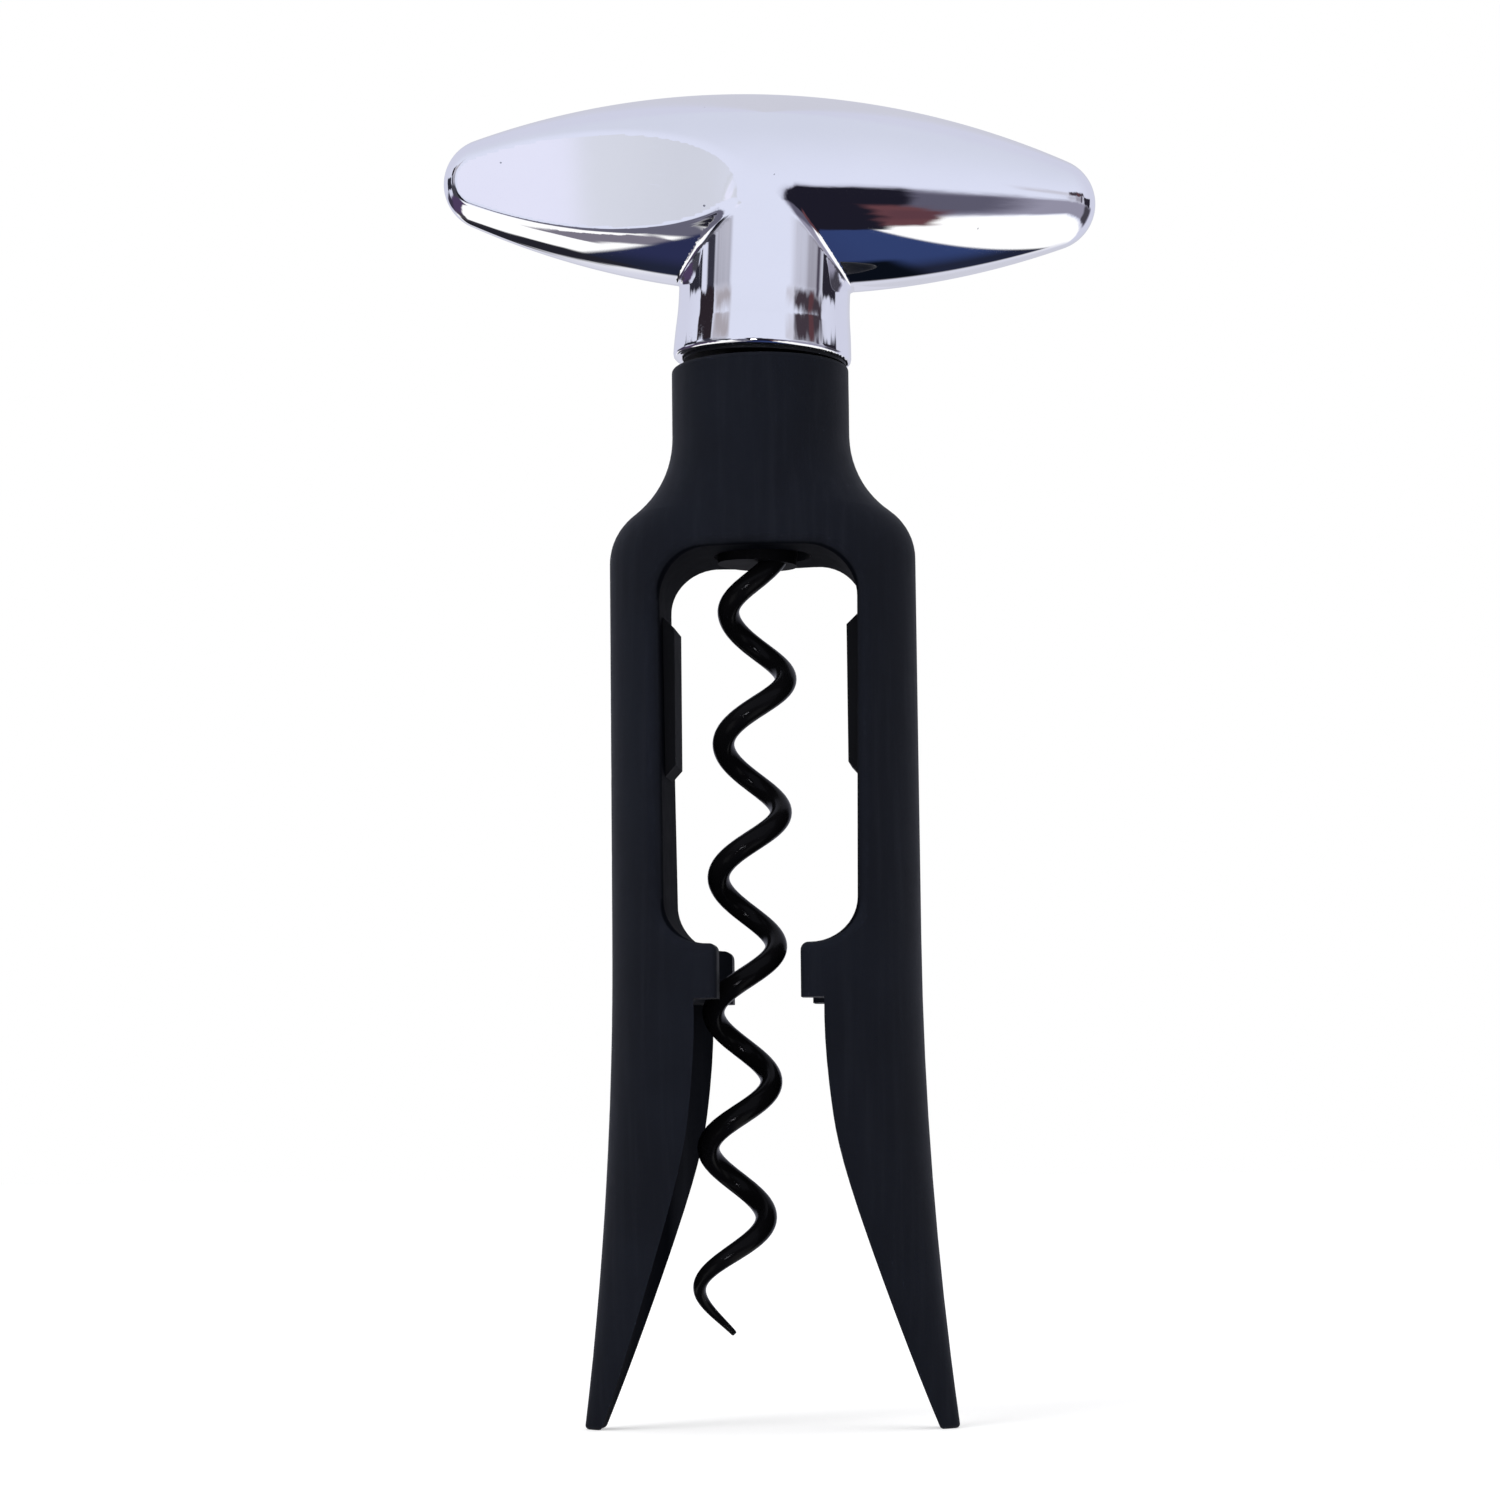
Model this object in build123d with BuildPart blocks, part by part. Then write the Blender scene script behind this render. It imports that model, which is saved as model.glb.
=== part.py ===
from build123d import *
import os
from math import acos, ceil, cos, pi, radians, sin, sqrt, tan

# Corkscrew with a free-turning handle. Millimetres, +Z up, the two legs along X.
# The origin is on the frame's axis, in the plane that rests on the rim of a bottle.

# Frame, outside
neck_r = 11.4
frame_top = 81.3
rim_round = 0.5
neck_end = 72.4
shoulder_hollow_r = 12.5
shoulder_crown_r = 7.5
body_half_w = 19.65
leg_half_d = 13.23
leg_bow_start = 8.0
leg_bow_r = 480.0
leg_taper_start = -1.5
leg_taper_r = 177.0
leg_tip = -53.4
tip_round = 0.5
span_steps = 6

# Window, jaws and the channel that the bottle neck goes in
window_top = 56.9
window_half_w = 12.6
window_draft = 0.5
window_corner_r = 6.3
window_edge_round = 1.2
jaw_height = 6.8
sill_corner_r = 5.8
jaw_gap = 10.4
jaw_edge_round = 1.0
cork_way_r = 10.0
channel_r = 14.53
flare_start = -14.5
tip_wall = 2.2

# Grip pads on the rails
pad_bottom = 28.4
pad_length = 20.4
pad_depth = 8.0
pad_proud = 1.45
peg_r = 1.5
peg_length = 3.0
peg_inset = 5.0
peg_fit = 0.05
seat_gap = 0.05

# Screw: the handle, its spindle and the worm lean a little in the loose bore
lean = 2.7
worm_od = 10.45
wire = 2.8
pitch = 17.1
peak_height = 49.5
worm_shift = 0.32
coil_turns = 5
tip_angle = 79.0
tip_drift = 0.9
tip_drop = 1.0
taper_turns = 0.9
taper_power = 1.5
taper_steps = 5
gap_steps = 500
point_d = 0.75
spindle_r = 5.1
spindle_drop = 1.1
held_turns = 0.5
held_r = 2.7
worm_fit = 0.05
bore_play = 0.12

# Handle
handle_centre = 104.37
handle_half_l = 42.3
handle_half_h = 12.9
handle_half_d = 11.0
handle_crown_r = 104.9
facet_angle = 11.2
facet_lean = 4.7
facet_reach = 11.3
handle_turn = 2.6
handle_tilt = 0.7
neck_shift = 0.35
collar_bottom = 82.3
collar_r = 11.37
neck_top_r = 11.15
dome_start = -1.0
collar_round = 0.5

# Glide ring and the spindle's head
ring_r = 10.5
ring_thickness = 1.6
ring_proud = 0.35
ring_fit = 0.08
head_flats = 13.0
head_height = 13.0
head_fit = 0.05

# Worked out
bore_middle = (frame_top + window_top) / 2
bore_length = frame_top - window_top
bore_r = (worm_od / 2 + worm_shift) / cos(radians(lean)) + bore_length / 2 * tan(radians(lean)) + bore_play
turn = acos(1 - (body_half_w - neck_r) / (shoulder_hollow_r + shoulder_crown_r))
shoulder_bend = neck_end - shoulder_hollow_r * sin(turn)
shoulder_end = shoulder_bend - shoulder_crown_r * sin(turn)
peg_heights = (pad_bottom + peg_inset, pad_bottom + pad_length - peg_inset)


def half_width(z):
    """Half of the frame's width at height z."""
    if z >= neck_end:
        return neck_r
    if z >= shoulder_bend:
        return neck_r + shoulder_hollow_r - sqrt(shoulder_hollow_r**2 - (neck_end - z) ** 2)
    if z >= shoulder_end:
        return body_half_w - shoulder_crown_r + sqrt(shoulder_crown_r**2 - (z - shoulder_end) ** 2)
    return body_half_w + max(leg_bow_start - z, 0) ** 2 / (2 * leg_bow_r)


def half_depth(z):
    """Half of the frame's depth at height z: it eases out to the legs, then tapers to their tips."""
    share = min(max((shoulder_end - z) / shoulder_end, 0), 1)
    taper = max(leg_taper_start - z, 0) ** 2 / (2 * leg_taper_r)
    return neck_r + (leg_half_d - neck_r) * (1 - cos(pi * share)) / 2 - taper


def spread(start, end, steps):
    """Evenly spaced values from start to end."""
    return [start + (end - start) * i / steps for i in range(steps + 1)]


def wall_x(z):
    """Half of the window's width at height z: the rails draw in towards the jaws."""
    return window_half_w - window_draft * (window_top - z) / (window_top - jaw_height)


# Frame: lofted in spans that meet smoothly
levels = (frame_top, neck_end, shoulder_bend, shoulder_end, 0, leg_tip)

with BuildPart() as frame:
    for top, bottom in zip(levels, levels[1:]):
        for level in spread(top, bottom, span_steps):
            with BuildSketch(Plane.XY.offset(level)):
                Ellipse(half_width(level), half_depth(level))
        loft()
    fillet(frame.edges().group_by(Axis.Z)[-1], rim_round)

    with BuildSketch(Plane.XZ) as window:
        with BuildLine():
            Polyline(
                (-wall_x(jaw_height), jaw_height),
                (wall_x(jaw_height), jaw_height),
                (window_half_w, window_top),
                (-window_half_w, window_top),
                close=True,
            )
        make_face()
        fillet(window.vertices().group_by(Axis.Y)[-1], window_corner_r)
        fillet(window.vertices().group_by(Axis.Y)[0], sill_corner_r)
    extrude(amount=2 * leg_half_d, both=True, mode=Mode.SUBTRACT)
    fillet(frame.edges(Select.LAST).filter_by(Axis.Y, reverse=True), window_edge_round)

    with BuildSketch(Plane.XY.offset(leg_tip)):
        Rectangle(jaw_gap, 4 * leg_half_d)
    extrude(amount=jaw_height - leg_tip + window_edge_round, mode=Mode.SUBTRACT)
    slot = frame.faces(Select.LAST).filter_by(Axis.X).edges()
    fillet(slot - slot.group_by(Axis.Z)[0], jaw_edge_round)

    with BuildSketch(Plane.XY):
        Circle(cork_way_r)
    extrude(amount=jaw_height + window_edge_round, mode=Mode.SUBTRACT)

    with BuildSketch(Plane.XY.offset(window_top - window_corner_r)):
        Circle(bore_r)
    extrude(amount=frame_top - window_top + 2 * window_corner_r, mode=Mode.SUBTRACT)

    with BuildSketch(Plane.XZ):
        with BuildLine():
            flare_r = half_width(leg_tip) - tip_wall
            wall = Line((channel_r, 0), (channel_r, flare_start))
            flare = TangentArc(wall @ 1, (flare_r, leg_tip), tangent=(0, -1))
            end = Line(flare @ 1, (flare_r, leg_tip - tip_wall))
            Polyline(end @ 1, (0, leg_tip - tip_wall), (0, 0), (channel_r, 0))
        make_face()
    revolve(axis=Axis.Z, mode=Mode.SUBTRACT)

    for height in peg_heights:
        with BuildSketch(Plane.YZ):
            with Locations((0, height)):
                Circle(peg_r + peg_fit)
        extrude(amount=wall_x(height) + peg_length + peg_fit, both=True, mode=Mode.SUBTRACT)

    tips = frame.faces().filter_by(Axis.Z).group_by(Axis.Z)[0]
    fillet(tips.edges(), tip_round)

# Grip pads: ribs with sloped ends, pegged into the rails
pad_top = pad_bottom + pad_length
pad_face = wall_x(pad_bottom + pad_length / 2) - pad_proud

with BuildPart() as grip_pad_right:
    with BuildSketch(Plane.XZ):
        with BuildLine():
            Polyline(
                (wall_x(pad_bottom) - seat_gap, pad_bottom),
                (wall_x(pad_top) - seat_gap, pad_top),
                (pad_face, pad_top - pad_proud),
                (pad_face, pad_bottom + pad_proud),
                close=True,
            )
        make_face()
    extrude(amount=pad_depth / 2, both=True)
    for height in peg_heights:
        with BuildSketch(Plane.YZ.offset(pad_face)):
            with Locations((0, height)):
                Circle(peg_r)
        extrude(amount=wall_x(height) + peg_length - pad_face)

with BuildPart() as grip_pad_left:
    mirror(grip_pad_right.part, about=Plane.YZ)


# Screw: its axis leans towards +X about the middle of the bore
screw = Plane(
    origin=(0, 0, bore_middle),
    x_dir=(cos(radians(lean)), 0, -sin(radians(lean))),
    z_dir=(sin(radians(lean)), 0, cos(radians(lean))),
)


def along(z):
    """Distance along the leaning axis, from the middle of the bore to height z."""
    return (z - bore_middle) / cos(radians(lean))


# Worm: a right-handed helix, drawn in at its top where the spindle holds it
coil_r = (worm_od - wire) / 2
left_peak = 180.0
spindle_end = along(window_top - spindle_drop)
mouth_angle = left_peak + 360 * (spindle_end - along(peak_height)) / pitch
top_angle = mouth_angle + 360 * held_turns
point_angle = tip_angle - 360 * coil_turns
taper_angle = point_angle + 360 * taper_turns


def ease(value, low, high):
    """A smooth share, from 0 at low to 1 at high."""
    share = min(max((value - low) / (high - low), 0), 1)
    return share * share * (3 - 2 * share)


def coil_point(angle):
    """The point of the centre line at this angle; more degrees lie higher, and the last turn bends."""
    radius = coil_r - (coil_r - held_r) * ease(angle, left_peak, mouth_angle)
    height = along(peak_height) + pitch * (angle - left_peak) / 360
    bend = max(point_angle + 360 - angle, 0) / 360
    return screw.from_local_coords(
        Vector(
            worm_shift - tip_drift * bend**2 + radius * cos(radians(angle)),
            radius * sin(radians(angle)),
            height - tip_drop * bend**3,
        )
    )


def coil_direction(angle):
    """The direction of the centre line downwards at this angle."""
    return (coil_point(angle - 0.01) - coil_point(angle + 0.01)).normalized()


def coil_section(angle):
    """The plane across the wire at this angle, with its X axis away from the screw's axis."""
    direction = coil_direction(angle)
    return Plane(origin=coil_point(angle), x_dir=direction.cross(screw.z_dir), z_dir=direction)


def coil_arcs(start, end):
    """Two tangent arcs for each quarter turn of the centre line, from start down to end."""
    angles = spread(start, end, ceil((start - end) / 90))
    for upper, lower in zip(angles, angles[1:]):
        first, last = coil_point(upper), coil_point(lower)
        out, into = coil_direction(upper), coil_direction(lower)
        chord, tangents = last - first, out + into
        bend = 2 * (1 - out.dot(into))
        reach = (sqrt(chord.dot(tangents) ** 2 + bend * chord.dot(chord)) - chord.dot(tangents)) / bend
        corners = first + out * reach, last - into * reach
        middle = (corners[0] + corners[1]) / 2
        TangentArc(first, middle, tangent=out)
        TangentArc(middle, last, tangent=corners[1] - corners[0])


with BuildPart() as worm:
    with BuildLine() as coil:
        coil_arcs(top_angle, taper_angle)
    with BuildSketch(coil_section(top_angle)):
        Circle(wire / 2)
    sweep(path=coil.wire())
    for angle in spread(taper_angle, point_angle, taper_steps):
        share = (taper_angle - angle) / (taper_angle - point_angle)
        with BuildSketch(coil_section(angle)):
            Circle((wire - (wire - point_d) * share**taper_power) / 2)
    loft()

line = [(angle, coil_point(angle)) for angle in spread(top_angle, point_angle, gap_steps)]
apart = [(a[1] - b[1]).length for i, a in enumerate(line) for b in line[i:] if a[0] - b[0] > 180]
print(f"worm: least gap to itself {min(apart) - wire:.2f} mm")

# Spindle: the worm's upper end is held in its shaft, and its six-sided head turns with the handle
ring_bottom = along(collar_bottom) - ring_proud
head_bottom = ring_bottom + ring_thickness + seat_gap

with BuildPart() as spindle:
    with BuildSketch(screw.offset(spindle_end)):
        Circle(spindle_r)
    extrude(amount=head_bottom - spindle_end)
    with BuildSketch(screw.offset(head_bottom)):
        RegularPolygon(head_flats / 2, 6, major_radius=False)
    extrude(amount=head_height)
    with BuildLine() as held_coil:
        coil_arcs(top_angle + 2, mouth_angle - 90)
    with BuildSketch(coil_section(top_angle + 2)):
        Circle(wire / 2 + worm_fit)
    sweep(path=held_coil.wire(), mode=Mode.SUBTRACT)

# Glide ring
with BuildPart() as glide_ring:
    with BuildSketch(screw.offset(ring_bottom)):
        Circle(ring_r)
        Circle(spindle_r + ring_fit, mode=Mode.SUBTRACT)
    extrude(amount=ring_thickness)

# Handle's bar: two crown arcs and round noses, flattened, then cut by two facets
crown_drop = handle_crown_r - handle_half_h
nose_r = (handle_crown_r**2 - crown_drop**2 - handle_half_l**2) / (2 * (handle_crown_r - handle_half_l))
nose_share = handle_crown_r / (handle_crown_r - nose_r)
nose_joint = ((handle_half_l - nose_r) * nose_share, crown_drop * (nose_share - 1))
facet_out = Vector(-sin(radians(facet_angle)), -cos(radians(facet_angle)), -tan(radians(facet_lean)))

with BuildPart() as bar:
    with BuildSketch(Plane.XZ):
        with BuildLine():
            RadiusArc((0, handle_half_h), nose_joint, handle_crown_r)
            RadiusArc(nose_joint, (handle_half_l, 0), nose_r)
            Polyline((handle_half_l, 0), (0, 0), (0, handle_half_h))
        make_face()
        mirror(about=Plane.YZ)
    revolve(axis=Axis.X)
    scale(by=(1, handle_half_d / handle_half_h, 1))
    for side in (0, 180):
        facet = Plane((0, 0, 0), z_dir=facet_out.rotate(Axis.Z, side))
        split(bisect_by=facet.offset(facet_reach), keep=Keep.BOTTOM)

# Handle: the bar on its domed neck, which stands a little off the screw's axis
centre = along(handle_centre)
neck = Plane(screw.offset(centre).origin - screw.x_dir * neck_shift, x_dir=screw.x_dir, z_dir=screw.z_dir)
side_view = Plane(neck.origin, x_dir=neck.x_dir, z_dir=-neck.y_dir)
neck_foot = along(collar_bottom) - centre

with BuildPart() as handle:
    add(bar.part.moved(neck.rotated((0, handle_tilt, handle_turn)).location))
    with BuildSketch(side_view):
        with BuildLine():
            Polyline(
                (0, neck_foot),
                (collar_r, neck_foot),
                (neck_top_r, dome_start),
                (0, dome_start),
                close=True,
            )
        make_face()
        with BuildLine():
            CenterArc((0, dome_start), neck_top_r, start_angle=0, arc_size=90)
            Polyline((0, dome_start + neck_top_r), (0, dome_start), (neck_top_r, dome_start))
        make_face()
    revolve(axis=Axis(neck.origin, neck.z_dir))
    foot = handle.faces().sort_by(Axis(neck.origin, neck.z_dir))[0]
    fillet(foot.edges(), collar_round)
    with BuildSketch(screw.offset(along(collar_bottom))):
        Circle(ring_r + ring_fit)
    extrude(amount=head_bottom - along(collar_bottom), mode=Mode.SUBTRACT)
    with BuildSketch(screw.offset(head_bottom)):
        RegularPolygon(head_flats / 2 + head_fit, 6, major_radius=False)
    extrude(amount=head_height + seat_gap, mode=Mode.SUBTRACT)

frame.part.label = "frame"
grip_pad_left.part.label = "grip_pad_left"
grip_pad_right.part.label = "grip_pad_right"
worm.part.label = "worm"
spindle.part.label = "spindle"
glide_ring.part.label = "glide_ring"
handle.part.label = "handle"

os.makedirs("parts", exist_ok=True)
export_step(frame.part, "parts/frame.step")
export_step(grip_pad_left.part, "parts/grip_pad_left.step")
export_step(grip_pad_right.part, "parts/grip_pad_right.step")
export_step(worm.part, "parts/worm.step")
export_step(spindle.part, "parts/spindle.step")
export_step(glide_ring.part, "parts/glide_ring.step")
export_step(handle.part, "parts/handle.step")
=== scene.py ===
import math

import bpy
import numpy as np
from mathutils import Matrix, Vector


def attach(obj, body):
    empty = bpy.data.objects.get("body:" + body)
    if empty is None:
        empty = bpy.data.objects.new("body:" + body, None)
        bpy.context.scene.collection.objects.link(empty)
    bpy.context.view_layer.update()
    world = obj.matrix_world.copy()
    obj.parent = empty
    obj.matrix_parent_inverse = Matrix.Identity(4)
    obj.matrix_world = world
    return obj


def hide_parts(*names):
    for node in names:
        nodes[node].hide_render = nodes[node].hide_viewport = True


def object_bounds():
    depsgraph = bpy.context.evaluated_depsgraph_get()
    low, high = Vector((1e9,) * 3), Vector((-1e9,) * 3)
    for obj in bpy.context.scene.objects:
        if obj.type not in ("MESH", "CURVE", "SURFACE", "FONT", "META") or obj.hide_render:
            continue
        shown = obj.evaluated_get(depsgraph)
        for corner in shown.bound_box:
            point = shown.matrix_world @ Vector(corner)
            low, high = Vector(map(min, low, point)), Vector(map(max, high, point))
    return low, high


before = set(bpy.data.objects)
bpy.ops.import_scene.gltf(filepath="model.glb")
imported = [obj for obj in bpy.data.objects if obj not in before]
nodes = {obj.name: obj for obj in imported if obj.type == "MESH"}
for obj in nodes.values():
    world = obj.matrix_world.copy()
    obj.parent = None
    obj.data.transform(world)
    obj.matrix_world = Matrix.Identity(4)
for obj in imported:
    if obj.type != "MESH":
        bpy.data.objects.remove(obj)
cad_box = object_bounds()
scene = bpy.context.scene
MM = 0.001

# Camera: the photograph's view, a little from the right and from below
target = Vector((-0.00184, 0, 0.032))
camera_distance = 0.469
camera_azimuth = math.radians(5.2)
camera_elevation = math.radians(-6.2)
camera_roll = math.radians(-0.62)
lens_px = 3675
frame_px = 1500

camera_data = bpy.data.cameras.new("camera")
camera_data.sensor_width = 36
camera_data.lens = lens_px / frame_px * camera_data.sensor_width
camera_data.clip_start = 0.01
camera_data.clip_end = 20
camera = bpy.data.objects.new("camera", camera_data)
scene.collection.objects.link(camera)
outward = Vector((
    math.sin(camera_azimuth) * math.cos(camera_elevation),
    -math.cos(camera_azimuth) * math.cos(camera_elevation),
    math.sin(camera_elevation),
))
turn = (-outward).to_track_quat("-Z", "Y").to_matrix().to_4x4()
level_view = Matrix.Translation(target + outward * camera_distance) @ turn
camera.matrix_world = level_view @ Matrix.Rotation(camera_roll, 4, "Z")
scene.camera = camera

# Screw axis, in millimetres: it leans towards +X about the middle of the bore
lean = math.radians(2.7)
bore_middle = 69.1
screw_x = np.array([math.cos(lean), 0, -math.sin(lean)])
screw_y = np.array([0, 1, 0])
screw_z = np.array([math.sin(lean), 0, math.cos(lean)])
screw_origin = np.array([0, 0, bore_middle])


def along(z):
    """Distance along the leaning axis, from the middle of the bore to height z."""
    return (z - bore_middle) / math.cos(lean)


def new_piece(name, points, faces, normals=None):
    """A smooth mesh object from points in millimetres."""
    mesh = bpy.data.meshes.new(name)
    mesh.from_pydata((np.asarray(points) * MM).tolist(), [], faces)
    mesh.polygons.foreach_set("use_smooth", [True] * len(mesh.polygons))
    if normals is not None:
        mesh.normals_split_custom_set_from_vertices(normals.tolist())
    piece = bpy.data.objects.new(name, mesh)
    scene.collection.objects.link(piece)
    return piece


# Handle, as a distance field in millimetres: an oval bar with two facets, blended into its neck
handle_half_l, handle_half_h, handle_half_d = 42.3, 12.9, 11.0
crown_r = 104.9
facet_angle, facet_lean, facet_reach, facet_edge = math.radians(11.2), math.radians(4.7), 11.3, 0.25
handle_turn, handle_tilt = math.radians(2.6), math.radians(0.7)
neck_r, waist_r, collar_r, dome_start = 11.05, 11.28, 11.5, -1.0
collar_bottom, waist_height, flare_height = 82.3, 4.1, 8.0
flare_power, band_power, profile_reach = 1.8, 1.4, 1.2
collar_round = 0.7
crease = 0.5
ring_seat_r, ring_seat_depth = 10.58, 1.3
socket_flats, socket_depth = 6.55, 13.05
hole_edge = 0.2
neck_shift = 0.35
handle_centre = along(104.37)
neck_origin = screw_origin + screw_z * handle_centre - screw_x * neck_shift
neck_foot = along(collar_bottom) - handle_centre
nose_r = (crown_r**2 - (crown_r - handle_half_h) ** 2 - handle_half_l**2) / (2 * (crown_r - handle_half_l))
tiny = 1e-12


def soft_max(a, b, width):
    """The larger of two distances, with a rounded edge between them."""
    share = np.clip(0.5 + 0.5 * (a - b) / width, 0, 1)
    return b + (a - b) * share + width * share * (1 - share)


def turned(a, b, angle):
    """Coordinates a and b as seen from axes turned by this angle, from a to b."""
    return a * math.cos(angle) + b * math.sin(angle), b * math.cos(angle) - a * math.sin(angle)


def bar_field(x, y, z):
    """Distance from the bar's surface."""
    x, y = turned(x, y, handle_turn)
    x, z = turned(x, z, -handle_tilt)
    length = np.abs(x)
    radius = np.sqrt((y * handle_half_h / handle_half_d) ** 2 + z**2 + tiny)
    nose_centre = handle_half_l - nose_r
    crown_drop = crown_r - handle_half_h
    on_crown = nose_centre * (radius + crown_drop) > crown_drop * length
    nose = np.sqrt((length - nose_centre) ** 2 + radius**2) - nose_r
    crown = np.sqrt(length**2 + (radius + crown_drop) ** 2) - crown_r
    field = np.where(on_crown, crown, nose)
    for side in (-1, 1):
        level = side * (x * math.sin(facet_angle) + y * math.cos(facet_angle))
        facet = level * math.cos(facet_lean) - z * math.sin(facet_lean) - facet_reach
        field = soft_max(field, facet, facet_edge)
    return field


def neck_field(x, y, z):
    """Distance from the neck's surface: a round top, and a flare down to the collar's band."""
    radius = np.sqrt(x**2 + y**2 + tiny)
    height = z - neck_foot
    down_flare = np.clip((flare_height - height) / (flare_height - waist_height), 0, profile_reach)
    flare = neck_r + (waist_r - neck_r) * down_flare**flare_power
    up_band = np.clip(height / waist_height, 0, profile_reach)
    band = collar_r - (collar_r - waist_r) * up_band**band_power
    side = radius - np.where(height > waist_height, flare, band)
    dome = np.sqrt(radius**2 + (z - dome_start) ** 2) - neck_r
    return soft_max(np.where(z > dome_start, dome, side), neck_foot - z, collar_round)


def handle_field(points):
    """Distance from the handle's surface, with its seat for the ring and its six-sided socket."""
    offset = points - neck_origin
    x, y, z = offset @ screw_x, offset @ screw_y, offset @ screw_z
    body = -soft_max(-bar_field(x, y, z), -neck_field(x, y, z), crease)
    x = x - neck_shift
    above_seat = z - neck_foot - ring_seat_depth
    seat = soft_max(np.sqrt(x**2 + y**2) - ring_seat_r, above_seat, hole_edge)
    flats = [np.abs(x * math.cos(a) + y * math.sin(a)) for a in (0, math.pi / 3, 2 * math.pi / 3)]
    socket = np.maximum(np.maximum.reduce(flats) - socket_flats, above_seat - socket_depth)
    return soft_max(body, -np.minimum(seat, socket), hole_edge)


def slope(field, points, reach=0.02):
    """The field's gradient."""
    parts = []
    for step in np.eye(3) * reach:
        parts.append((field(points + step) - field(points - step)) / (2 * reach))
    return np.stack(parts, -1)


def skin(field, low, high, cell):
    """Points and quads of the surface where the field is zero, found on a grid of cells."""
    axes = [np.arange(a, b, cell) for a, b in zip(low, high)]
    grid = np.stack(np.meshgrid(*axes, indexing="ij"), -1)
    value = field(grid)
    shape = tuple(size - 1 for size in value.shape)
    total, count = np.zeros(shape + (3,)), np.zeros(shape)
    edges = []
    for axis in range(3):
        first = [slice(None)] * 3
        second = [slice(None)] * 3
        first[axis], second[axis] = slice(0, -1), slice(1, None)
        a, b = value[tuple(first)], value[tuple(second)]
        at = np.argwhere((a < 0) != (b < 0))
        one, other = a[tuple(at.T)], b[tuple(at.T)]
        point = grid[tuple(at.T)]
        point[:, axis] += cell * one / (one - other)
        u, v = np.eye(3, dtype=int)[[(axis + 1) % 3, (axis + 2) % 3]]
        ring = [at, at - u, at - u - v, at - v]
        for corner in ring:
            np.add.at(total, tuple(corner.T), point)
            np.add.at(count, tuple(corner.T), 1)
        edges.append((ring, one < 0))
    active = count > 0
    number = np.full(shape, -1)
    number[active] = np.arange(active.sum())
    points = total[active] / count[active][:, None]
    faces = []
    for ring, outward_first in edges:
        quads = np.stack([number[tuple(corner.T)] for corner in ring], -1)
        quads[~outward_first] = quads[~outward_first][:, ::-1]
        faces.append(quads)
    return points, np.concatenate(faces)


cell = 0.36
margin = 1.5
refinements = 4
least_slope = 0.5
half_box = np.array([handle_half_l + margin, collar_r + margin, 0])
box_low = neck_origin - half_box + screw_z * (neck_foot - margin)
box_high = neck_origin + half_box + screw_z * (handle_half_h + margin)
points, faces = skin(handle_field, box_low, box_high, cell)
for _ in range(refinements):
    gradient = slope(handle_field, points)
    steepness = np.maximum((gradient**2).sum(-1, keepdims=True), least_slope)
    step = handle_field(points)[:, None] * gradient / steepness
    points = points - np.clip(step, -cell / 2, cell / 2)
gradient = slope(handle_field, points)
normals = gradient / np.linalg.norm(gradient, axis=-1, keepdims=True)
handle = new_piece("handle_skin", points, faces.tolist(), normals)
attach(handle, "screw")
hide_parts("handle")

# Worm, in millimetres: a right-handed helix whose last turn thins and bends to its point
worm_od, wire, pitch = 10.45, 2.8, 17.1
peak_height, worm_shift = 49.5, 0.32
coil_turns, tip_angle = 5, 79.0
tip_drift, tip_drop = 0.9, 1.0
taper_turns, taper_power, point_d = 0.9, 1.5, 0.75
window_top, spindle_drop = 56.9, 1.1
held_turns, held_r = 0.5, 2.7
coil_r = (worm_od - wire) / 2
left_peak = 180.0
mouth_angle = left_peak + 360 * (along(window_top - spindle_drop) - along(peak_height)) / pitch
top_angle = mouth_angle + 360 * held_turns
point_angle = tip_angle - 360 * coil_turns
rings_a_turn = 110
ring_sides = 28
small_angle = 0.01
cap = np.array([0.75, 0.4])


def coil_line(angle):
    """Points of the worm's centre line at these angles, in degrees."""
    share = np.clip((angle - left_peak) / (mouth_angle - left_peak), 0, 1)
    radius = coil_r - (coil_r - held_r) * share**2 * (3 - 2 * share)
    bend = np.maximum(point_angle + 360 - angle, 0) / 360
    x = worm_shift - tip_drift * bend**2 + radius * np.cos(np.radians(angle))
    y = radius * np.sin(np.radians(angle))
    z = along(peak_height) + pitch * (angle - left_peak) / 360 - tip_drop * bend**3
    return screw_origin + x[:, None] * screw_x + y[:, None] * screw_y + z[:, None] * screw_z


ring_count = int((top_angle - point_angle) / 360 * rings_a_turn)
angles = np.linspace(top_angle, point_angle, ring_count)
centres = coil_line(angles)
forward = coil_line(angles - small_angle) - coil_line(angles + small_angle)
forward /= np.linalg.norm(forward, axis=-1, keepdims=True)
across = np.cross(forward, screw_z)
across /= np.linalg.norm(across, axis=-1, keepdims=True)
upward = np.cross(forward, across)
thinning = np.clip((point_angle + 360 * taper_turns - angles) / (360 * taper_turns), 0, 1)
radii = (wire - (wire - point_d) * thinning**taper_power) / 2
cap_radii = radii[-1] * np.sqrt(1 - (1 - cap) ** 2)
centres = np.concatenate([centres, centres[-1] + forward[-1] * radii[-1] * (1 - cap[:, None])])
across = np.concatenate([across, across[-1:], across[-1:]])
upward = np.concatenate([upward, upward[-1:], upward[-1:]])
radii = np.concatenate([radii, cap_radii])
around = np.arange(ring_sides) * 2 * math.pi / ring_sides
rings = centres[:, None] + radii[:, None, None] * (
    np.cos(around)[None, :, None] * across[:, None] + np.sin(around)[None, :, None] * upward[:, None]
)
faces = []
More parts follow.
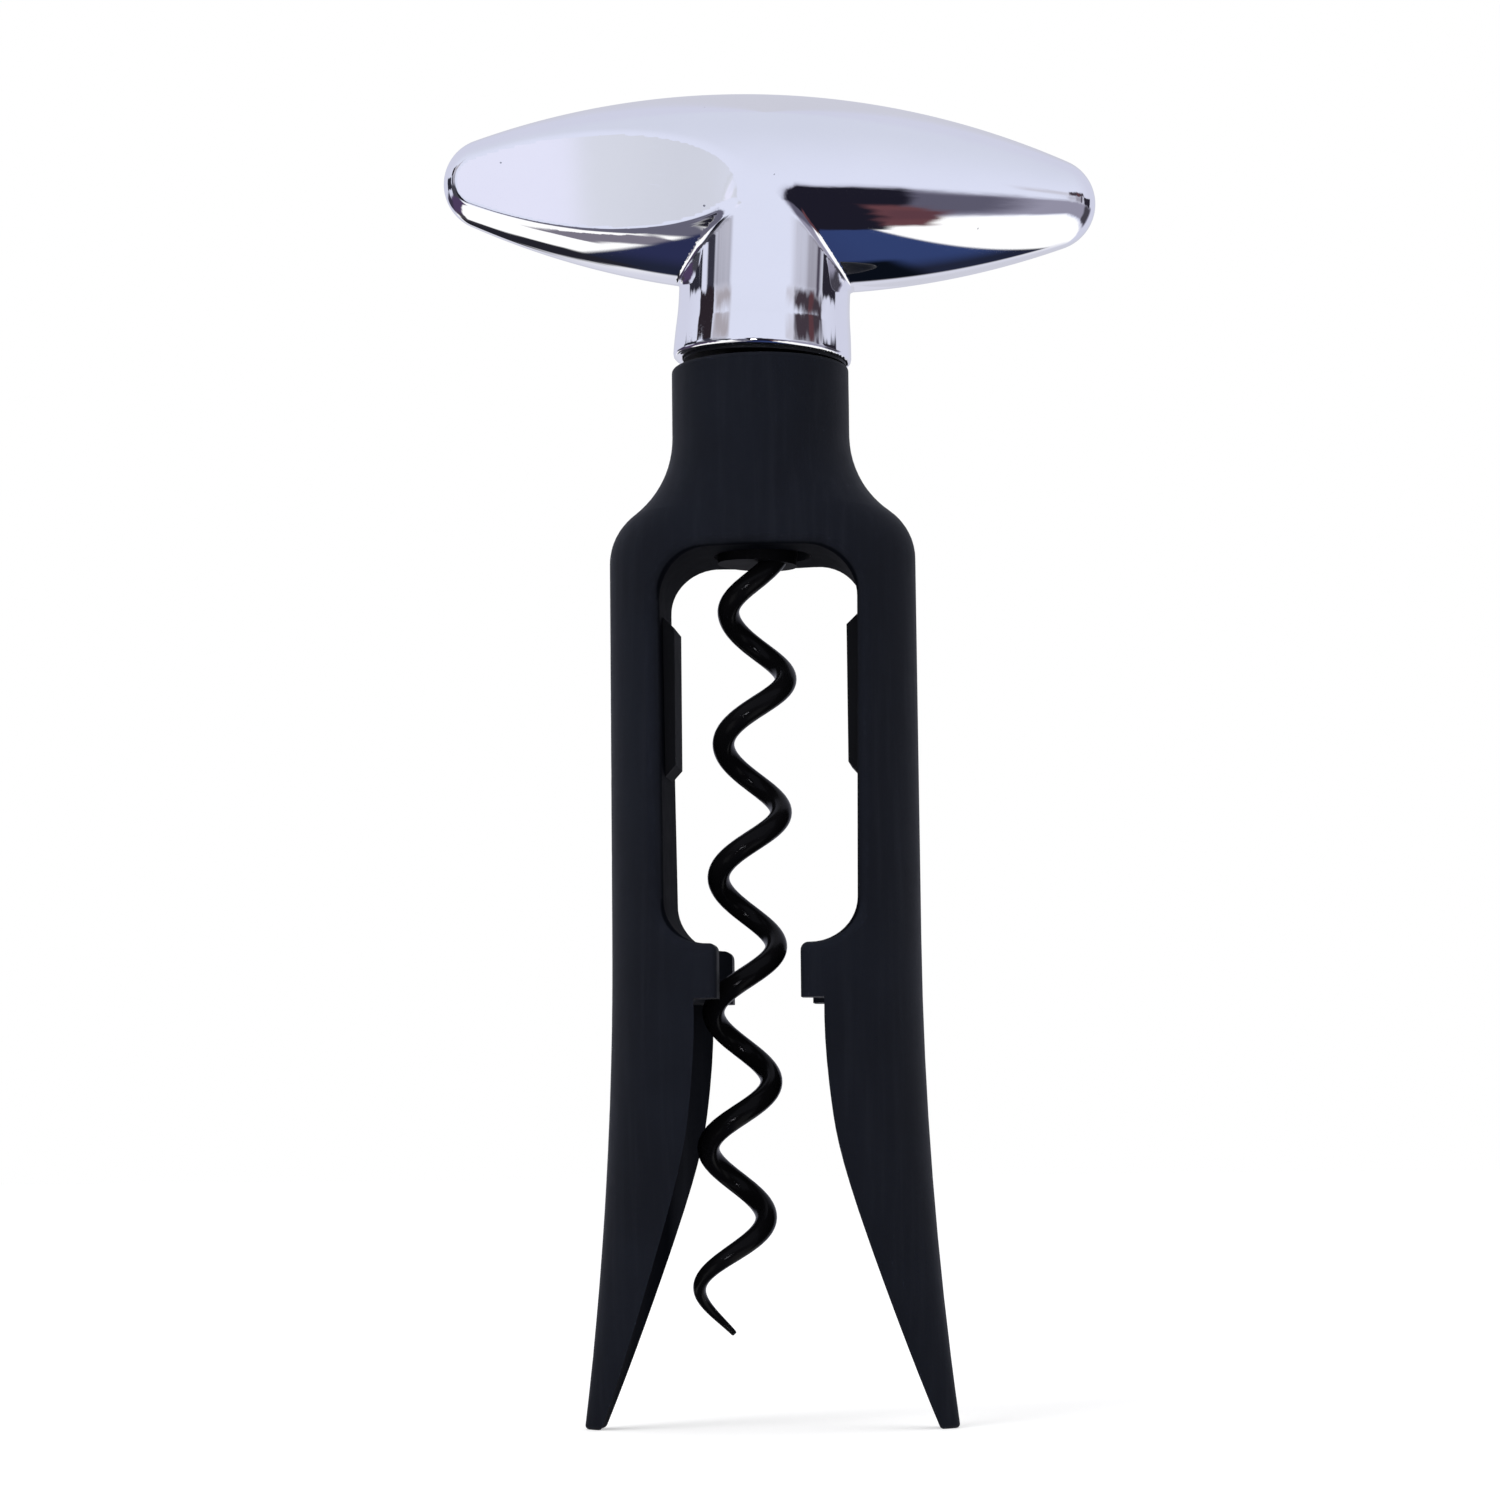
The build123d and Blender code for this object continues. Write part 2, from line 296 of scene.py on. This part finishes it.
for ring in range(len(rings) - 1):
    for side in range(ring_sides):
        a, b = ring * ring_sides + side, ring * ring_sides + (side + 1) % ring_sides
        faces.append((a, b, b + ring_sides, a + ring_sides))
faces.append(tuple(range(ring_sides))[::-1])
faces.append(tuple(range((len(rings) - 1) * ring_sides, len(rings) * ring_sides)))
worm = new_piece("worm_wire", rings.reshape(-1, 3), faces)
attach(worm, "screw")
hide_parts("worm")

# The other pieces keep their CAD meshes, shaded smooth up to their edges
edge_angle = math.radians(32)
for name in ("frame", "grip_pad_left", "grip_pad_right", "spindle", "glide_ring"):
    nodes[name].data.shade_smooth()
    nodes[name].data.set_sharp_from_angle(angle=edge_angle)


class Nodes:
    """Short names for the shader nodes of one tree."""

    def __init__(self, tree):
        self.tree = tree

    def add(self, kind, settings=None, **inputs):
        """A node with its settings and inputs; an input is a value or another node's output."""
        node = self.tree.nodes.new("ShaderNode" + kind)
        for key, value in (settings or {}).items():
            setattr(node, key, value)
        for key, value in inputs.items():
            self.put(node.inputs[key.replace("_", " ")], value)
        return node

    def put(self, socket, value):
        """Sets or connects an input."""
        if isinstance(value, bpy.types.NodeSocket):
            self.tree.links.new(value, socket)
        else:
            socket.default_value = value

    def calc(self, operation, *values):
        """The result of a sum on one to three values."""
        node = self.tree.nodes.new("ShaderNodeMath")
        node.operation = operation
        for socket, value in zip(node.inputs, values):
            self.put(socket, value)
        return node.outputs[0]

    def rise(self, value, low, high):
        """0 below low and 1 above high, smooth between."""
        node = self.tree.nodes.new("ShaderNodeMapRange")
        node.interpolation_type = "SMOOTHSTEP"
        for key, item in (("Value", value), ("From Min", low), ("From Max", high)):
            self.put(node.inputs[key], item)
        return node.outputs["Result"]

    def band(self, value, low, high, edge):
        """1 between low and high, with soft edges."""
        start = self.rise(value, low - edge, low + edge)
        return self.calc("SUBTRACT", start, self.rise(value, high - edge, high + edge))

    def mix(self, share, first, second):
        """A colour between two."""
        node = self.tree.nodes.new("ShaderNodeMix")
        node.data_type = "RGBA"
        self.put(node.inputs["Factor"], share)
        for socket, value in zip([s for s in node.inputs if s.type == "RGBA"], (first, second)):
            self.put(socket, value)
        return [s for s in node.outputs if s.type == "RGBA"][0]

    def noise(self, where, scale, detail=3, roughness=0.5, stretch=None):
        """A noise value, about 0.5 on average; scale is in waves a metre."""
        if stretch:
            mapping = self.add("Mapping", Vector=where)
            mapping.inputs["Scale"].default_value = stretch
            where = mapping.outputs[0]
        node = self.add("TexNoise", Vector=where, Scale=scale, Detail=detail, Roughness=roughness)
        return node.outputs[0]


# Finishes: colours are linear, noise scales are in waves a metre, and grain is a depth in metres
tone_scale, rough_scale, grain_scale = 90, 400, 6500


def finish_material(name, colour, darker, roughness, specular, grain, uneven=0.14, metallic=0.0, extra=None):
    """A procedural finish: two tones of one colour, uneven roughness and a fine grain."""
    material = bpy.data.materials.new(name)
    material.use_nodes = True
    make = Nodes(material.node_tree)
    shader = material.node_tree.nodes["Principled BSDF"]
    where = make.add("TexCoord").outputs["Object"]
    shade = make.rise(make.noise(where, tone_scale, 4), 0.3, 0.7)
    make.put(shader.inputs["Base Color"], make.mix(shade, (*darker, 1), (*colour, 1)))
    rough = make.calc("MULTIPLY_ADD", make.noise(where, rough_scale, 3), uneven, roughness - uneven / 2)
    make.put(shader.inputs["Roughness"], rough)
    make.put(shader.inputs["Metallic"], metallic)
    make.put(shader.inputs["Specular IOR Level"], specular)
    bump = make.add("Bump", Strength=1.0, Distance=grain, Height=make.noise(where, grain_scale, 2))
    make.put(shader.inputs["Normal"], bump.outputs[0])
    if extra:
        extra(make, shader, where, bump)
    return material


def dress(piece, material):
    """The piece's only material."""
    piece.data.materials.clear()
    piece.data.materials.append(material)


# Marks on the frame: sizes of its window in metres, then streaks, dust and painted shade on the inner walls
window_middle, window_half_w, window_half_h = 0.032, 0.0126, 0.0249
streak_scale, streak_share, streak_colour = 700, 0.25, (0.016, 0.018, 0.026, 1)
speck_scale, speck_group_scale, speck_share, dust_colour = 330.0, 150, 0.5, (0.18, 0.17, 0.16, 1)
frame_specular, inner_specular, frame_sheen = 0.09, 0.005, 0.035
# Painted shade on the walls inside the window and the legs: how much of it, and its dark colour
painted_shade_share, painted_shade_colour = 0.65, (0.001, 0.001, 0.0014, 1)


def frame_marks(make, shader, where, bump):
    """Faint streaks and a few pale specks of dust, and painted shade that darkens the walls inside the
    window and the legs.
    """
    base = shader.inputs["Base Color"].links[0].from_socket
    streak = make.rise(make.noise(where, streak_scale, 3, 0.6, stretch=(1, 1, 0.05)), 0.45, 0.75)
    base = make.mix(make.calc("MULTIPLY", streak, streak_share), base, streak_colour)
    specks = make.add("TexVoronoi", Vector=where, Scale=speck_scale)
    near = make.calc("SUBTRACT", 1, make.rise(specks.outputs["Distance"], 0.03, 0.07))
    rare = make.rise(make.noise(where, speck_group_scale, 2), 0.66, 0.68)
    speck = make.calc("MULTIPLY", near, rare)
    base = make.mix(make.calc("MULTIPLY", speck, speck_share), base, dust_colour)
    place = make.add("SeparateXYZ", Vector=where).outputs
    facing = make.add("SeparateXYZ", Vector=make.add("TexCoord").outputs["Normal"]).outputs
    # Painted shade: walls facing into the window and between the legs get a darker colour, less specular and
    # less sheen
    across = make.calc("MULTIPLY", facing[0], make.calc("DIVIDE", place[0], window_half_w))
    upright = make.calc("DIVIDE", make.calc("SUBTRACT", place[2], window_middle), window_half_h)
    upright = make.calc("MULTIPLY", make.calc("MULTIPLY", facing[2], upright), make.rise(place[2], 0, 0.01))
    painted_shade = make.calc("MULTIPLY", make.calc("ADD", across, upright), -1)
    painted_shade = make.rise(painted_shade, 0.7, 0.98)
    base = make.mix(make.calc("MULTIPLY", painted_shade, painted_shade_share), base, painted_shade_colour)
    make.put(shader.inputs["Base Color"], base)
    dulled = make.calc("MULTIPLY_ADD", painted_shade, inner_specular - frame_specular, frame_specular)
    make.put(shader.inputs["Specular IOR Level"], dulled)
    make.put(shader.inputs["Sheen Weight"], make.calc("MULTIPLY_ADD", painted_shade, -frame_sheen, frame_sheen))


# Marks on the plating: small pits, and scratches as thin as hairs
pit_scale, pit_group_scale, pit_share = 300.0, 210, 0.75
pit_colour, pit_depth = (0.1, 0.1, 0.13, 1), 0.00001
scratch_scale, scratch_group_scale, scratch_share = 900, 160, 0.06


def chrome_marks(make, shader, where, bump):
    """A few small pits and faint scratches in the plating."""
    pits = make.add("TexVoronoi", Vector=where, Scale=pit_scale)
    hollow = make.calc("SUBTRACT", 1, make.rise(pits.outputs["Distance"], 0.03, 0.055))
    pit = make.calc("MULTIPLY", hollow, make.rise(make.noise(where, pit_group_scale, 2), 0.55, 0.57))
    base = shader.inputs["Base Color"].links[0].from_socket
    base = make.mix(make.calc("MULTIPLY", pit, pit_share), base, pit_colour)
    make.put(shader.inputs["Base Color"], base)
    hairs = make.band(make.noise(where, scratch_scale, 2, 0.5, stretch=(0.02, 1, 1)), 0.499, 0.501, 0.002)
    scratched = make.rise(make.noise(where, scratch_group_scale, 2), 0.62, 0.7)
    line = make.calc("MULTIPLY", hairs, scratched)
    height = make.calc("MULTIPLY", make.calc("ADD", pit, make.calc("MULTIPLY", line, scratch_share)), -1)
    dents = make.add("Bump", Strength=1.0, Distance=pit_depth, Height=height, Normal=bump.outputs[0])
    make.put(shader.inputs["Normal"], dents.outputs[0])


frame_colour, frame_darker = (0.006, 0.0077, 0.0134), (0.0048, 0.0061, 0.0106)
frame_finish = finish_material(
    "moulded_plastic", frame_colour, frame_darker,
    roughness=0.62, specular=frame_specular, grain=0.000012, extra=frame_marks,
)
dress(nodes["frame"], frame_finish)

pad_colour, pad_darker = (0.0092, 0.0096, 0.012), (0.0072, 0.0076, 0.0094)
pad_finish = finish_material(
    "pad_rubber", pad_colour, pad_darker, roughness=0.7, specular=0.02, grain=0.00001
)
for name in ("grip_pad_left", "grip_pad_right"):
    dress(nodes[name], pad_finish)

nylon_colour, nylon_darker = (0.004, 0.004, 0.005), (0.003, 0.003, 0.0036)
spindle_finish = finish_material(
    "spindle_nylon", nylon_colour, nylon_darker, roughness=0.6, specular=0.02, grain=0.00001
)
dress(nodes["spindle"], spindle_finish)

ring_colour, ring_darker = (0.007, 0.008, 0.0105), (0.005, 0.006, 0.008)
ring_finish = finish_material(
    "ring_nylon", ring_colour, ring_darker, roughness=0.5, specular=0.2, grain=0.00001
)
dress(nodes["glide_ring"], ring_finish)

coating_colour, coating_darker = (0.0042, 0.0041, 0.0048), (0.0034, 0.0033, 0.004)
worm_finish = finish_material(
    "worm_coating", coating_colour, coating_darker,
    roughness=0.2, specular=0.05, grain=0.000005, uneven=0.06,
)
dress(worm, worm_finish)

plate_colour, plate_darker = (0.99, 0.99, 0.99), (0.975, 0.975, 0.98)
chrome = finish_material(
    "chrome_plate", plate_colour, plate_darker,
    roughness=0.035, specular=0.5, grain=0.0000003, uneven=0.03, metallic=1.0, extra=chrome_marks,
)
dress(handle, chrome)

# Surroundings: even light, white behind, and the studio as the polished metal shows it
world = bpy.data.worlds.new("world")
scene.world = world
world.use_nodes = True
make = Nodes(world.node_tree)
sky = make.add("TexCoord").outputs["Generated"]
parts = make.add("SeparateXYZ", Vector=sky).outputs
frontward = make.calc("MULTIPLY", parts[1], -1)

# Directions in degrees, plain and bent a little by a noise; most shapes use the bent ones
wander_scale, wander_reach = 7.0, 3.5
wander = make.calc("MULTIPLY_ADD", make.noise(sky, wander_scale, 3, 0.6), 2 * wander_reach, -wander_reach)
azimuth = make.calc("DEGREES", make.calc("ARCTAN2", parts[0], frontward))
elevation = make.calc("DEGREES", make.calc("ARCSINE", parts[2]))
warped_azimuth = make.calc("ADD", azimuth, wander)
warped_elevation = make.calc("ADD", elevation, wander)
turned_away = make.calc("ABSOLUTE", azimuth)


def tone(red, green, blue):
    """A colour from its display values, 0 to 255."""
    return (*[(value / 255) ** 2.2 for value in (red, green, blue)], 1)


def below(value, limit, edge):
    """1 below the limit and 0 above it."""
    return make.calc("SUBTRACT", 1, make.rise(value, limit - edge, limit + edge))


def patch(low, high, bottom, top, edge, tilt=0.0):
    """Where a reflected direction falls in this window of azimuth and elevation, in degrees."""
    across = make.calc("MULTIPLY_ADD", warped_elevation, tilt, warped_azimuth)
    in_height = make.band(warped_elevation, bottom, top, edge)
    return make.calc("MULTIPLY", make.band(across, low, high, edge), in_height)


# The room above, paler in front, and two panels that only the front facet shows
look = make.mix(make.rise(elevation, 5, 72), tone(219, 223, 244), tone(208, 212, 230))
look = make.mix(make.rise(turned_away, 60, 125), look, tone(206, 208, 228))
look = make.mix(make.rise(turned_away, 145, 172), look, tone(203, 204, 217))
panels = make.mix(make.rise(azimuth, -25.3, -24.9), tone(227, 228, 249), tone(212, 215, 228))
panels = make.mix(make.rise(azimuth, -24.8, -23.4), panels, tone(206, 209, 222))
on_facet = make.calc("MULTIPLY", make.band(azimuth, -29, -22.6, 0.5), make.band(elevation, 5.6, 8.4, 0.5))
look = make.mix(on_facet, look, panels)

# The floor: white at the sides, with a dark blue runner from front to back
depth = make.calc("MAXIMUM", make.calc("MULTIPLY", parts[2], -1), 0.01)
side = make.calc("DIVIDE", parts[0], depth)
ahead = make.calc("DIVIDE", frontward, depth)
floor_white = (1.06, 1.06, 1.07, 1)
white_floor = make.mix(make.rise(turned_away, 142, 165), floor_white, tone(212, 213, 228))
far_edge = make.calc("MULTIPLY_ADD", warped_azimuth, 0.08, warped_elevation)
look = make.mix(below(far_edge, -22.5, 4), look, white_floor)
look = make.mix(patch(-84, -34, -63.5, -54, 1.5), look, tone(122, 118, 132))
look = make.mix(patch(-35, -16, -54, -6, 2.0), look, tone(100, 99, 116))
left_edge = make.calc("ADD", side, make.calc("MULTIPLY", ahead, -0.2))
right_edge = make.calc("ADD", side, make.calc("MULTIPLY", ahead, 0.07))
runner = make.calc("MULTIPLY", make.rise(left_edge, -0.46, -0.42), below(right_edge, 0.38, 0.015))
runner = make.calc("MULTIPLY", runner, make.rise(ahead, -1.0, -0.8))
runner = make.calc("MULTIPLY", runner, below(elevation, -38, 2))
near_blue = make.mix(make.rise(side, -0.3, 0.2), tone(46, 50, 82), tone(52, 66, 110))
blue = make.mix(make.rise(ahead, -0.5, 0.1), tone(38, 42, 60), near_blue)
core = make.calc("MULTIPLY", make.band(side, -0.2, 0.17, 0.03), below(ahead, 0.04, 0.08))
blue = make.mix(core, blue, tone(18, 22, 30))
look = make.mix(runner, look, blue)

# Dark and tinted shapes: low, high, bottom, top, edge, tilt and colour
for low, high, bottom, top, edge, tilt, colour in (
    (-16, 125, -24, 3, 3, 0.0, (146, 144, 164)),
    (-16, 34, -22, 3, 5, 0.0, (92, 90, 108)),
    (-16, 19, -42, 3, 1.5, 0.0, (34, 33, 44)),
    (10, 19, -37, -14, 2, 0.2, (100, 66, 72)),
    (16, 26, -30, -19, 2, 0.0, (92, 62, 70)),
    (94, 120, -24, 2, 4, 0.0, (70, 68, 78)),
    (-165, -144, -53, -16, 2.5, 0.3, (40, 40, 48)),
    (-136, -58, -33, -7, 3, 0.0, (78, 64, 94)),
    (-140, -122, -36, -20, 3, 0.0, (70, 66, 74)),
    (-138, -112, -13, 1, 3, 0.0, (60, 55, 72)),
    (-94, -38, -14, 7, 3, 0.0, (68, 68, 77)),
    (-50, -36, -12, 0, 2, 0.0, (30, 30, 38)),
    (-80, -42, 6, 17, 3, 0.0, (160, 160, 174)),
    (-70, -56, 5, 24, 2, 0.6, (56, 56, 68)),
    (-116, -89, 2, 17, 1.0, 0.0, (46, 46, 56)),
    (-90.5, -66, 17.5, 29, 0.8, 0.0, (46, 40, 46)),
    (-64, -40, 17.5, 24, 3, 0.0, (166, 161, 170)),
    (44, 96, 4, 13.5, 6, 0.0, (180, 180, 196)),
    (64, 84, 4, 13.5, 4, 0.0, (150, 148, 162)),
    (79, 83, 4, 14, 1, 0.0, (76, 72, 86)),
    (90, 116, 2, 13.5, 1, 0.0, (44, 42, 52)),
    (36, 55, 14, 19, 3, 0.0, (198, 198, 213)),
    (53, 94, 14, 20, 2.0, 0.3, (66, 58, 66)),
    (77, 84, 14, 20, 1.5, 0.5, (88, 60, 66)),
):
    look = make.mix(patch(low, high, bottom, top, edge, tilt), look, tone(*colour))

# A small bright window, which gives the glints on the worm
window_light = (90, 90, 98, 1)
look = make.mix(patch(-10, -4, -15.5, -9.5, 1.0), look, window_light)

# Glossy rays see the studio, camera and transmission rays plain white, and the others an even light
plain_light = 0.8
rays = make.add("LightPath").outputs
seen = make.calc("MAXIMUM", rays["Is Camera Ray"], rays["Is Transmission Ray"])
light = make.mix(rays["Is Glossy Ray"], (plain_light, plain_light, plain_light, 1), look)
light = make.mix(seen, light, (1, 1, 1, 1))
background = world.node_tree.nodes["Background"]
make.put(background.inputs["Color"], light)

# A soft lamp above the front left, which the metal doesn't show
lamp_data = bpy.data.lights.new("soft_lamp", "AREA")
lamp_data.shape = "RECTANGLE"
lamp_data.size, lamp_data.size_y = 0.5, 0.7
lamp_data.energy = 3.6
lamp = bpy.data.objects.new("soft_lamp", lamp_data)
lamp.location = (-0.55, -0.65, 0.75)
lamp.visible_glossy = False
lamp.rotation_euler = (target - lamp.location).to_track_quat("-Z", "Y").to_euler()
scene.collection.objects.link(lamp)

# Floor: pale, under the leg tips
floor_height = cad_box[0][2]
floor_size = 4.0
square = ((-1, -1), (1, -1), (1, 1), (-1, 1))
corners = [(x * floor_size / MM, y * floor_size / MM, floor_height / MM) for x, y in square]
floor = new_piece("floor", corners, [(0, 1, 2, 3)])
floor.visible_glossy = False
floor_look = bpy.data.materials.new("floor")
floor_look.use_nodes = True
make = Nodes(floor_look.node_tree)
shader = floor_look.node_tree.nodes["Principled BSDF"]
make.put(shader.inputs["Base Color"], (0.85, 0.85, 0.86, 1))
make.put(shader.inputs["Roughness"], 1.0)
make.put(shader.inputs["Specular IOR Level"], 0.0)
make.put(shader.inputs["Emission Color"], (1, 1, 1, 1))
camera_glow = 0.35
glow = make.calc("MULTIPLY", make.add("LightPath").outputs["Is Camera Ray"], camera_glow)
make.put(shader.inputs["Emission Strength"], glow)
dress(floor, floor_look)

scene.view_settings.view_transform = "Standard"
